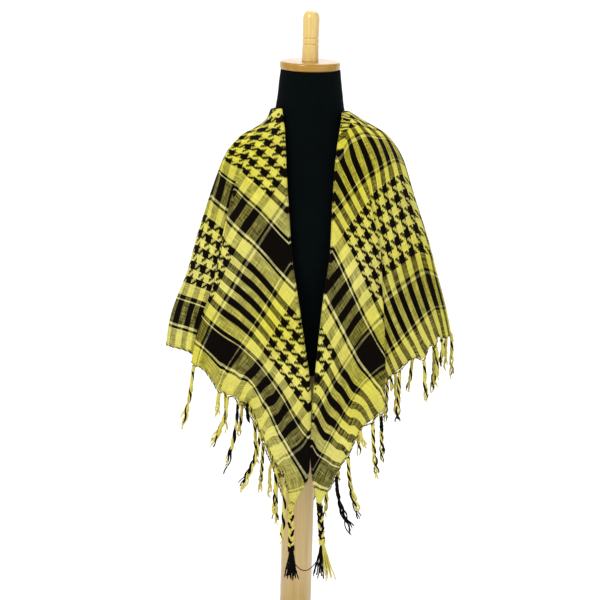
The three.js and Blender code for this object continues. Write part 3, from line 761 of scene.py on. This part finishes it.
def plait_parts(row):
    """A plaited corner: three strands that weave as sines across and at twice the rate back and forth, a
    wrap of yarn above, a knot below and a spread of threads."""
    root = hem_point(np.array([float(row["place"])]))[0] + np.array([0, 0, PLAIT_GRIP])
    total = row["plait"] + row["tassel"]

    def sway(down):
        apart = PLAIT_JOIN + (1 - PLAIT_JOIN) * ramp(down, 0, PLAIT_PART)
        return row["lean"] * down / total + row["shift"] * apart

    parts = []
    down = np.linspace(0, row["plait"], 90)
    phase = 2 * math.pi * down / PLAIT_PITCH
    k = np.arange(3)[:, None]
    x = PLAIT_REACH * np.sin(phase + 2 * math.pi * k / 3) + sway(down)
    y = PLAIT_DEPTH * np.sin(2 * (phase + 2 * math.pi * k / 3))
    paths = root + np.stack([x, y, np.broadcast_to(-down, x.shape)], -1)
    points, faces = strands(paths, np.full(x.shape, PLAIT_STRAND), 0.07)
    parts.append((points, faces, per_point(dye_values(row["dyes"]), points)))
    for at, turns, radius, dye in ((1.0, 6, 3.6, row["wrap"]), (row["plait"] - 5, 4, 4.2, row["knot"])):
        s = np.linspace(0, 1, 24 * turns)
        spin = 2 * math.pi * turns * s
        depth = at + 2.1 * turns * s
        path = root + np.stack([radius * np.sin(spin) + sway(depth), -radius * np.cos(spin), -depth], -1)
        points, faces = strands(path[None], np.full((1, len(s)), 1.3), 0.1, sides=6, upright=False)
        parts.append((points, faces, dye_values(dye)[0]))
    count = 26
    k = np.arange(count)
    t = np.linspace(0, 1, 22)
    turn = 2.4 * k
    reach = np.sqrt((k + 0.5) / count)
    open_out = (2.6 + (row["flare"] - 2.6) * t**1.25) * reach[:, None]
    size = row["tassel"] * (1 - 0.14 * ((5 * k) % 7) / 6)[:, None]
    depth = row["plait"] + size * t
    curl = 1.2 * np.sin(5 * t + 1.7 * k[:, None]) * t
    x = open_out * np.sin(turn)[:, None] + sway(depth) + curl
    y = -0.6 * open_out * np.cos(turn)[:, None]
    points, faces = strands(root + np.stack([x, y, -depth], -1), np.full(x.shape, FINE_YARN), 0.15, sides=6)
    mix = np.where(np.sin(turn) < row["dark"], 1.0, 0.0)
    parts.append((points, faces, per_point(mix, points)))
    return parts


def loose_thread():
    """A loose black yarn between the tassels of the two front plaits: a straight line that sags as a
    parabola."""
    ends = []
    for row in PLAITS[:2]:
        corner = hem_point(np.array([float(row["place"])]))[0]
        ends.append(corner + np.array([0.6 * row["lean"], 0, THREAD_DROP - row["plait"]]))
    t = np.linspace(0, 1, 48)[:, None]
    path = ends[0] + (ends[1] - ends[0]) * t + np.array([0, -1.5, -THREAD_SAG]) * 4 * t * (1 - t)
    points, faces = strands(path[None], np.full((1, len(t)), 0.8), YARN_TWIST, upright=False)
    return points, faces, 1.0


# ---- the form -----------------------------------------------------------------------------------


def closed_rings(name, points):
    """A piece from rings of points, sides by rings by 3, with a cap on its first and last ring."""
    sides, count = points.shape[:2]
    quads = grid_faces(sides, count, wrap=True).tolist()
    caps = [(np.arange(sides)[::-1] * count).tolist(), (np.arange(sides) * count + count - 1).tolist()]
    return mesh_object(name, points.reshape(-1, 3) * MM, quads + caps)


def lathe(name, profile, sides=96):
    """A turned piece: each profile row (radius, height) swept round the axis, with its ends closed."""
    radius, height = np.array(profile, dtype=float).T
    angle = 2 * math.pi * np.arange(sides)[:, None] / sides
    x, y = radius * np.cos(angle), radius * np.sin(angle)
    return closed_rings(name, np.stack([x, y, np.broadcast_to(height, x.shape)], -1))


def rounded(radius, bottom, top, edge, steps=8):
    """Profile of a round slab with half round edges, from its bottom centre to its top centre."""
    turn = np.linspace(0, math.pi / 2, steps)
    low = np.stack([radius - edge + edge * np.sin(turn), bottom + edge - edge * np.cos(turn)], -1)
    high = np.stack([radius - edge + edge * np.cos(turn), top - edge + edge * np.sin(turn)], -1)
    return [(AXIS, bottom), *low.tolist(), *high.tolist(), (AXIS, top)]


def torso_piece():
    """The torso and neck: ellipses of the ring table, smoothed between its rows, closed above and below."""
    at = np.linspace(0, len(TORSO) - 1, TORSO_STEPS)
    z, half, front, back, shift = (through(column(TORSO, key), at) for key in TORSO[0])
    angle = 2 * math.pi * np.arange(TORSO_SIDES) / TORSO_SIDES
    sin, cos = np.sin(angle)[:, None], np.cos(angle)[:, None]
    points = np.stack([shift + half * sin, -np.where(cos > 0, front, back) * cos, z + 0 * sin], -1)
    return closed_rings("torso", points)


# ---- materials ----------------------------------------------------------------------------------


def wire(made, inputs):
    """Set a node's sockets, or link them: a node given as a value is linked by its result."""
    for key, value in inputs.items():
        if isinstance(value, bpy.types.Node):
            value = value.outputs[2 if getattr(value, "data_type", "") == "RGBA" else 0]
        if isinstance(value, bpy.types.NodeSocket):
            made.id_data.links.new(value, made.inputs[key])
        else:
            made.inputs[key].default_value = value


def node(tree, kind, inputs=None, stops=None, **settings):
    """Add a shader node of a kind with its settings, its sockets and its ramp's stops."""
    made = tree.nodes.new("ShaderNode" + kind)
    for key, value in settings.items():
        setattr(made, key, value)
    wire(made, inputs or {})
    if stops:
        ramp_of = made.color_ramp
        ramp_of.interpolation = "CONSTANT"
        while len(ramp_of.elements) < len(stops):
            ramp_of.elements.new(1.0)
        for element, (position, colour) in zip(ramp_of.elements, stops):
            element.position, element.color = position, colour
    return made


def new_material(name):
    """An empty node material, a function that adds a node to it, and its shader."""
    material = bpy.data.materials.new(name)
    material.use_nodes = True
    material.node_tree.nodes.clear()
    add = functools.partial(node, material.node_tree)
    shader = add("BsdfPrincipled")
    add("OutputMaterial", {"Surface": shader})
    return material, add, shader


def yarn_colour(code):
    """A yarn's colour before the shade that crossing yarns give, which is a power of CROSSING_GAMMA."""
    r, g, b, _ = hex_linear(code)
    return (*(value ** (1 / CROSSING_GAMMA) for value in (r, g, b)), 1.0)


def yarn_colours(add, distance, rows, stripes, yarns):
    """Colour of the yarns that run at a distance from the first hem, whether they are in a check, and the
    number of each thread: the chart counts from the nearer hem, and from the far one after a wider margin.
    Inside a check black and yellow take turns, at one pitch in the border and another in the field."""
    far = add("Math", {0: 1.0 - stripes["margin"] / SQUARE_SIDE, 1: distance}, operation="SUBTRACT")
    near = add("Math", {0: distance, 1: far}, operation="MINIMUM")
    doubled = add("Math", {0: near, 1: 2.0}, operation="MULTIPLY")
    stops = []
    for row in rows:
        colour = yarns.get(row["yarn"], yarns["yellow"])[:3]
        stops.append((2 * row["from"] / SQUARE_SIDE, (*colour, 1.0 if row["yarn"] == "check" else 0.0)))
    chart = add("ValToRGB", {"Fac": doubled}, stops=stops)
    border, field = (row["from"] for row in rows if row["yarn"] == "check")
    turns = []
    for start, stripe in ((border, stripes["border"]), (field, stripes["field"])):
        count = {0: near, 1: 0.5 * SQUARE_SIDE / stripe, 2: -0.5 * start / stripe}
        turns.append(add("Math", count, operation="MULTIPLY_ADD"))
    inside = add("Math", {0: near, 1: field / SQUARE_SIDE}, operation="GREATER_THAN")
    turn = add("Mix", {0: inside, 2: turns[0], 3: turns[1]})
    part = add("Math", {0: turn}, operation="FRACT")
    black = add("Math", {0: part, 1: 0.5}, operation="LESS_THAN")
    striped = add("Mix", {0: black, 6: yarns["yellow"], 7: yarns["black"]}, data_type="RGBA")
    checked = chart.outputs["Alpha"]
    colour = add("Mix", {0: checked, 6: chart, 7: striped}, data_type="RGBA")
    threads = add("Math", {0: turn, 1: 2.0 * THREADS}, operation="MULTIPLY")
    return colour, checked, add("Math", {0: threads}, operation="FLOOR")


def check_cotton(yellow, black, cream):
    """Yarn-dyed cotton voile, plain woven with check bands: matt, thin and soft, with a slight sheen.

    Where both ways are in a check the yarns cross in a two and two twill, four threads to a stripe, which
    makes the toothed check. Elsewhere crossing yarns blend to olive, the ones along the first hem more
    strongly, and slubs streak the colour both ways. The thread is 0.5 mm, drawn at 1.6 mm so that it shows.
    """
    material, add, shader = new_material("yarn_dyed_check_cotton")
    yarns = {"yellow": yarn_colour(yellow), "black": yarn_colour(black), "cream": yarn_colour(cream)}
    weave = add("UVMap", uv_map="weave")
    parts = add("SeparateXYZ", {0: weave})
    colour_a, check_a, thread_a = yarn_colours(add, parts.outputs[0], CHART_A, STRIPES_A, yarns)
    colour_b, check_b, thread_b = yarn_colours(add, parts.outputs[1], CHART_B, STRIPES_B, yarns)
    both = add("Math", {0: check_a, 1: check_b}, operation="MULTIPLY")
    steps = add("Math", {0: thread_a, 1: thread_b}, operation="ADD")
    quarter = add("Math", {0: steps, 1: 0.25, 2: 0.01}, operation="MULTIPLY_ADD")
    lift = add("Math", {0: quarter}, operation="FRACT")
    twill = add("Math", {0: lift, 1: 0.5}, operation="GREATER_THAN")
    checked = add("MapRange", {0: twill, 3: 0.2, 4: 0.93})
    long, fine = SQUARE_SIDE / SLUB, SQUARE_SIDE / THREAD
    stretched_a = add("Mapping", {"Vector": weave, "Scale": (long, fine, 1)})
    stretched_b = add("Mapping", {"Vector": weave, "Scale": (fine, long, 1)})
    slub_a = add("TexNoise", {"Vector": stretched_a, "Scale": 1.0, "Detail": 1.0})
    slub_b = add("TexNoise", {"Vector": stretched_b, "Scale": 1.0, "Detail": 1.0})
    slubs = add("Math", {0: slub_a, 1: slub_b}, operation="SUBTRACT")
    plain = add("Math", {0: slubs, 1: 0.9, 2: 0.66}, operation="MULTIPLY_ADD", use_clamp=True)
    weight = add("Mix", {0: both, 2: plain, 3: checked})
    cloth = add("Mix", {0: weight, 6: colour_a, 7: colour_b}, data_type="RGBA")
    shaded = add("Gamma", {0: cloth, 1: CROSSING_GAMMA})
    patches = add("TexNoise", {"Vector": weave, "Scale": 14.0, "Detail": 2.0})
    even = add("MapRange", {0: patches, 1: 0.25, 2: 0.75, 3: 0.84, 4: 1.1})
    tone = add("Math", {0: slub_a, 1: slub_b}, operation="ADD")
    streak = add("MapRange", {0: tone, 1: 0.65, 2: 1.35, 3: 0.78, 4: 1.14})
    value = add("Math", {0: even, 1: streak}, operation="MULTIPLY")
    washed = add("TexNoise", {"Vector": weave, "Scale": 5.0, "Detail": 1.0})
    depth = add("MapRange", {0: washed, 1: 0.35, 2: 0.65, 3: 0.92, 4: 1.12})
    wire(shader, {
        "Base Color": add("HueSaturation", {"Color": shaded, "Saturation": depth, "Value": value}),
        "Normal": add("Bump", {"Height": tone, "Strength": 0.35, "Distance": 0.0006}),
        "Roughness": 0.9, "Specular IOR Level": 0.05, "Sheen Weight": 0.02, "Sheen Roughness": 0.5})
    return material


def cotton_yarn(yellow, black):
    """Two-ply cotton yarn of the fringe: fibrous and matt, yellow or black by its dye attribute."""
    material, add, shader = new_material("two_ply_cotton_yarn")
    dye = add("Attribute", attribute_name="dye")
    place = add("TexCoord").outputs["Object"]
    fibre = add("TexNoise", {"Vector": place, "Scale": 900.0, "Detail": 3.0})
    shade = add("MapRange", {0: fibre, 3: 0.72, 4: 1.15})
    yarns = {0: dye.outputs["Fac"], 6: hex_linear(yellow), 7: hex_linear(black)}
    colour = add("Mix", yarns, data_type="RGBA")
    wire(shader, {
        "Base Color": add("HueSaturation", {"Color": colour, "Value": shade}),
        "Normal": add("Bump", {"Height": fibre, "Strength": 0.4, "Distance": 0.0005}),
        "Roughness": 0.85, "Specular IOR Level": 0.06, "Sheen Weight": 0.03})
    return material


def cotton_jersey(colour):
    """Black cotton jersey stretched over the form: deep and matt with a faint nap and fine knit ribs,
    which are 0.9 mm apart, drawn RIB_STEP apart so that they show. The wave's period is tau / 20."""
    material, add, shader = new_material("cotton_jersey")
    place = add("TexCoord").outputs["Object"]
    lint = add("TexNoise", {"Vector": place, "Scale": 420.0, "Detail": 4.0})
    wide = add("TexNoise", {"Vector": place, "Scale": 9.0, "Detail": 2.0})
    value = add("Math", {0: lint, 1: wide}, operation="ADD")
    shade = add("MapRange", {0: value, 1: 0.6, 2: 1.4, 3: 0.7, 4: 1.3})
    rib_scale = {"Vector": place, "Scale": math.tau / 20 / RIB_STEP, "Distortion": 1.0}
    ribs = add("TexWave", rib_scale, bands_direction="X")
    wire(shader, {
        "Base Color": add("HueSaturation", {"Color": hex_linear(colour), "Value": shade}),
        "Normal": add("Bump", {"Height": ribs.outputs[1], "Strength": 0.08, "Distance": 0.0004}),
        "Roughness": 0.88, "Specular IOR Level": 0.04, "Sheen Weight": 0.004, "Sheen Roughness": 0.4})
    return material


def turned_wood(name, colour, dark, roughness, coat, along):
    """Turned and varnished wood: long fine grain streaks along one direction over broad growth bands,
    pores a fraction of a millimetre wide, under a clear varnish."""
    material, add, shader = new_material(name)
    place = add("TexCoord").outputs["Object"]
    fine = add("Mapping", {"Vector": place, "Scale": [14.0 if a else 520.0 for a in along]})
    broad = add("Mapping", {"Vector": place, "Scale": [2.2 if a else 48.0 for a in along]})
    grain = add("TexNoise", {"Vector": fine, "Scale": 1.0, "Detail": 3.0})
    bands = add("TexNoise", {"Vector": broad, "Scale": 1.0, "Detail": 2.0, "Distortion": 0.6})
    both = add("Math", {0: grain, 1: bands}, operation="ADD")
    part = add("MapRange", {0: both, 1: 0.7, 2: 1.35})
    wire(shader, {
        "Base Color": add("Mix", {0: part, 6: hex_linear(dark), 7: hex_linear(colour)}, data_type="RGBA"),
        "Normal": add("Bump", {"Height": grain, "Strength": 0.06, "Distance": 0.0003}),
        "Roughness": roughness, "Coat Weight": coat, "Coat Roughness": 0.12})
    return material


def finish_piece(piece, material, slot, *nodes):
    """Give a piece its material, let it ride on the only body and stand for its solids. The slot argument is
    not used.
    """
    piece.data.materials.clear()
    piece.data.materials.append(material)
    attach(piece, "root")
    if nodes:
        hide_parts(*nodes)
    return piece


# ---- settings -----------------------------------------------------------------------------------


def colour_property(name, description, default):
    """A colour setting kept as an sRGB hex code."""
    return bpy.props.StringProperty(name=name, description=description, default=default)


class ScarfSettings(bpy.types.PropertyGroup):
    """Sizes and colours of the scarf."""
    thickness: bpy.props.FloatProperty(
        name="Cloth thickness", description="Thickness of one layer", default=0.0008, unit="LENGTH")
    yellow: colour_property("Yellow yarn", "Colour of the yellow yarn", "#DCD466")
    black: colour_property("Black yarn", "Colour of the black yarn", "#080402")
    fringe: colour_property("Fringe yarn", "Colour of the yellow yarn in the tassels", "#DDD066")
    cream: colour_property("Cream yarn", "Colour of the cream yarn beside the black bands", "#D8D18C")


class FormSettings(bpy.types.PropertyGroup):
    """Finishes of the dress form."""
    jersey: colour_property("Jersey", "Colour of the jersey cover", "#04090A")
    peg: colour_property("Peg", "Light colour of the varnished peg", "#F0D588")
    peg_dark: colour_property("Peg grain", "Grain of the varnished peg", "#D4AC54")
    disc: colour_property("Disc", "Light colour of the varnished disc", "#C49528")
    disc_dark: colour_property("Disc grain", "Grain of the varnished disc", "#9E6E14")
    pale: colour_property("Pole", "Light colour of the pole and base", "#D0B67E")
    pale_dark: colour_property("Pole grain", "Grain of the pole and base", "#B8995F")


class StageSettings(bpy.types.PropertyGroup):
    """Camera, light and backdrop."""
    distance: bpy.props.FloatProperty(
        name="Camera distance", description="From the camera to the middle of the scarf", default=2.5,
        unit="LENGTH")
    pitch: bpy.props.FloatProperty(
        name="Camera pitch", description="How far the camera looks down", default=math.radians(14),
        subtype="ANGLE")
    roll: bpy.props.FloatProperty(
        name="Camera roll", description="How far the camera is turned about its line of sight",
        default=math.radians(1.54), subtype="ANGLE")
    backdrop: colour_property("Backdrop", "Colour of the floor and backdrop", "#FBFBFC")


# ---- operators ----------------------------------------------------------------------------------


class SHAWL_OT_scarf(bpy.types.Operator):
    """Drape the folded square over the form"""
    bl_idname = "shawl.scarf"
    bl_label = "Drape the scarf"

    def execute(self, context):
        settings = context.scene.shawl_scarf
        points, faces, plan = scarf_mesh(*scarf_grid())
        piece = mesh_object("scarf", points * MM, faces)
        x, y = plan[:, 0] + HALF_DIAGONAL, plan[:, 1]
        add_uv(piece, "weave", np.stack([x - y, x + y], -1) / math.sqrt(2) / SQUARE_SIDE)
        wall = piece.modifiers.new("thickness", "SOLIDIFY")
        wall.thickness, wall.offset = settings.thickness, -1
        nodes = [f"{layer}_{stretch}" for layer in ("scarf", "under") for stretch in STRETCHES]
        cotton = check_cotton(settings.yellow, settings.black, settings.cream)
        finish_piece(piece, cotton, "cotton_check", *nodes)
        return {"FINISHED"}


class SHAWL_OT_fringe(bpy.types.Operator):
    """Tie the twisted edge and the knotted tassels along the hem"""
    bl_idname = "shawl.fringe"
    bl_label = "Tie the fringe"

    def execute(self, context):
        settings = context.scene.shawl_scarf
        yarn = cotton_yarn(settings.fringe, settings.black)
        for row in FRINGES:
            parts = tassel_parts(tassels_of(row["from"], row["to"]))
            points, faces, dye = join([edge_part(row["from"], row["to"])] + parts)
            piece = mesh_object(f"{row['name']}_yarn", points * MM, faces)
            add_value(piece, "dye", dye)
            finish_piece(piece, yarn, "cotton_yarn", row["name"])
        return {"FINISHED"}


class SHAWL_OT_plaits(bpy.types.Operator):
    """Plait the corners of the square"""
    bl_idname = "shawl.plaits"
    bl_label = "Plait the corners"

    def execute(self, context):
        yarn = bpy.data.materials["two_ply_cotton_yarn"]
        for row in PLAITS:
            extra = [loose_thread()] if row is PLAITS[0] else []
            points, faces, dye = join(plait_parts(row) + extra)
            piece = mesh_object(f"{row['name']}_yarn", points * MM, faces)
            add_value(piece, "dye", dye)
            finish_piece(piece, yarn, "cotton_yarn", row["name"])
        return {"FINISHED"}


class SHAWL_OT_form(bpy.types.Operator):
    """Build the torso, neck disc, peg, pole and base"""
    bl_idname = "shawl.form"
    bl_label = "Build the dress form"

    def execute(self, context):
        settings = context.scene.shawl_form
        upright, level = (False, False, True), (True, False, False)
        pale = turned_wood("varnished_beech", settings.pale, settings.pale_dark, 0.42, 0.25, upright)
        peg_wood = turned_wood("honey_varnished_peg", settings.peg, settings.peg_dark, 0.3, 0.6, upright)
        disc_wood = turned_wood("honey_varnished_disc", settings.disc, settings.disc_dark, 0.3, 0.6, level)
        finish_piece(torso_piece(), cotton_jersey(settings.jersey), "black_jersey", "form_torso")
        disc = lathe("neck_disc", rounded(DISC_RADIUS, NECK_TOP, NECK_TOP + DISC_HEIGHT, DISC_EDGE))
        finish_piece(disc, disc_wood, "honey_wood", "form_neck_disc")
        foot = NECK_TOP + DISC_HEIGHT + GAP
        at = np.linspace(0, len(PEG) - 1, 140)
        radius, height = (through(column(PEG, key), at) for key in ("radius", "height"))
        peg = lathe("peg", np.stack([np.maximum(radius, AXIS), foot + height], -1), sides=64)
        finish_piece(peg, peg_wood, "honey_wood", "form_peg")
        low, high = BASE_HEIGHT + GAP, TORSO_BOTTOM - GAP
        pole = [(AXIS, low), (POLE_RADIUS, low), (POLE_RADIUS, high), (AXIS, high)]
        finish_piece(lathe("pole", pole), pale, "pale_wood", "form_pole")
        base = lathe("base", rounded(BASE_RADIUS, 0, BASE_HEIGHT, BASE_EDGE))
        finish_piece(base, pale, "pale_wood", "form_base")
        return {"FINISHED"}


def backdrop_piece():
    """Floor and backdrop in one sweep: a floor, a quarter round and a wall, as a profile carried sideways."""
    bend = np.linspace(0, math.pi / 2, 24)
    wall = SWEEP_START + SWEEP_RADIUS
    y = np.concatenate([[-FLOOR_HALF], SWEEP_START + SWEEP_RADIUS * np.sin(bend), [wall]])
    z = np.concatenate([[0.0], SWEEP_RADIUS - SWEEP_RADIUS * np.cos(bend), [FLOOR_HALF]])
    x = np.array([-FLOOR_HALF, FLOOR_HALF])
    points = np.stack([np.repeat(x, len(y)), np.tile(y, 2), np.tile(z, 2)], -1)
    return mesh_object("backdrop", points, grid_faces(2, len(y)))


class SHAWL_OT_stage(bpy.types.Operator):
    """Set the backdrop, the lights and the camera"""
    bl_idname = "shawl.stage"
    bl_label = "Set the stage"

    def execute(self, context):
        scene = context.scene
        settings = scene.shawl_stage
        floor = backdrop_piece()
        paint, _, shader = new_material("matt_white_paint")
        wire(shader, {"Base Color": hex_linear(settings.backdrop), "Roughness": 0.9})
        floor.data.materials.append(paint)
        world = bpy.data.worlds.new("studio")
        scene.world = world
        world.use_nodes = True
        wire(world.node_tree.nodes["Background"], {0: (1.0, 1.0, 1.0, 1.0), 1: WORLD_LIGHT})
        for row in LIGHTS:
            lamp = bpy.data.lights.new(row["name"], "AREA")
            lamp.energy, lamp.size = row["power"], row["size"]
            light = bpy.data.objects.new(row["name"], lamp)
            light.location = (row["x"], row["y"], row["z"])
            aim = Vector((0.0, row["aim_y"], row["aim_z"])) - light.location
            light.rotation_euler = aim.to_track_quat("-Z", "Y").to_euler()
            scene.collection.objects.link(light)
        sight = Vector((0.0, math.cos(settings.pitch), -math.sin(settings.pitch)))
        level = Vector((1.0, 0.0, 0.0))
        above = level.cross(sight)
        cos, sin = math.cos(settings.roll), math.sin(settings.roll)
        right, up = level * cos + above * sin, above * cos - level * sin
        lens = bpy.data.cameras.new("camera")
        lens.lens, lens.sensor_width = LENS, SENSOR
        camera = bpy.data.objects.new("camera", lens)
        turn = Matrix((right, up, -sight)).transposed().to_4x4()
        camera.matrix_world = Matrix.Translation(Vector(CAMERA_AIM) - sight * settings.distance) @ turn
        scene.collection.objects.link(camera)
        scene.camera = camera
        scene.view_settings.view_transform = "Standard"
        return {"FINISHED"}


class SHAWL_PT_panel(bpy.types.Panel):
    """Sidebar panel with the settings and a button for each group of pieces"""
    bl_idname = "SHAWL_PT_panel"
    bl_label = "Shawl on a form"
    bl_space_type = "VIEW_3D"
    bl_region_type = "UI"
    bl_category = "Shawl"

    def draw(self, context):
        for name in GROUPS:
            settings = getattr(context.scene, name)
            for key in settings.__annotations__:
                self.layout.prop(settings, key)
        for operator in OPERATORS:
            self.layout.operator(operator.bl_idname)


OPERATORS = (SHAWL_OT_form, SHAWL_OT_scarf, SHAWL_OT_fringe, SHAWL_OT_plaits, SHAWL_OT_stage)
GROUPS = {"shawl_scarf": ScarfSettings, "shawl_form": FormSettings, "shawl_stage": StageSettings}


def register():
    for item in (*GROUPS.values(), *OPERATORS, SHAWL_PT_panel):
        bpy.utils.register_class(item)
    for name, group in GROUPS.items():
        setattr(bpy.types.Scene, name, bpy.props.PointerProperty(type=group))


def unregister():
    for name in GROUPS:
        delattr(bpy.types.Scene, name)
    for item in (SHAWL_PT_panel, *reversed(OPERATORS), *reversed(GROUPS.values())):
        bpy.utils.unregister_class(item)


def main():
    register()
    for operator in OPERATORS:
        group, name = operator.bl_idname.split(".")
        getattr(getattr(bpy.ops, group), name)()


if __name__ == "__main__":
    main()
